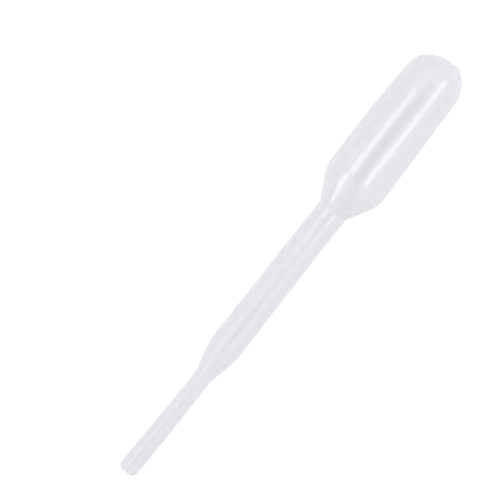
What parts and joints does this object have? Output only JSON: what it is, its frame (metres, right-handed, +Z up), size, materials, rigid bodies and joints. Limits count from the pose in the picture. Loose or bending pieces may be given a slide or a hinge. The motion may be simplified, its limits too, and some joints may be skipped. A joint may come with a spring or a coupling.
{
  "type": "dropper pipette",
  "caption": "Small one-piece plastic dropper pipette: a thin tapered tip and a hollow stem that widen into a barrel-shaped squeeze bulb with a domed end.",
  "frame": {"origin": "on the surface the pipette lies on, under the middle of its bounding box", "axes": "+X towards the bulb's dome, +Z up from the surface; the pipette's own axis leans up towards the bulb by 3.58 degrees about Y, because it lies on its shoulder and its lip, heavy side down"},
  "size_m": [0.065, 0.0082, 0.0088],
  "materials": {
    "polyethylene": "satin, translucent natural low-density polyethylene"
  },
  "bodies": {
    "root": {"pipette": "polyethylene"}
  },
  "joints": []
}
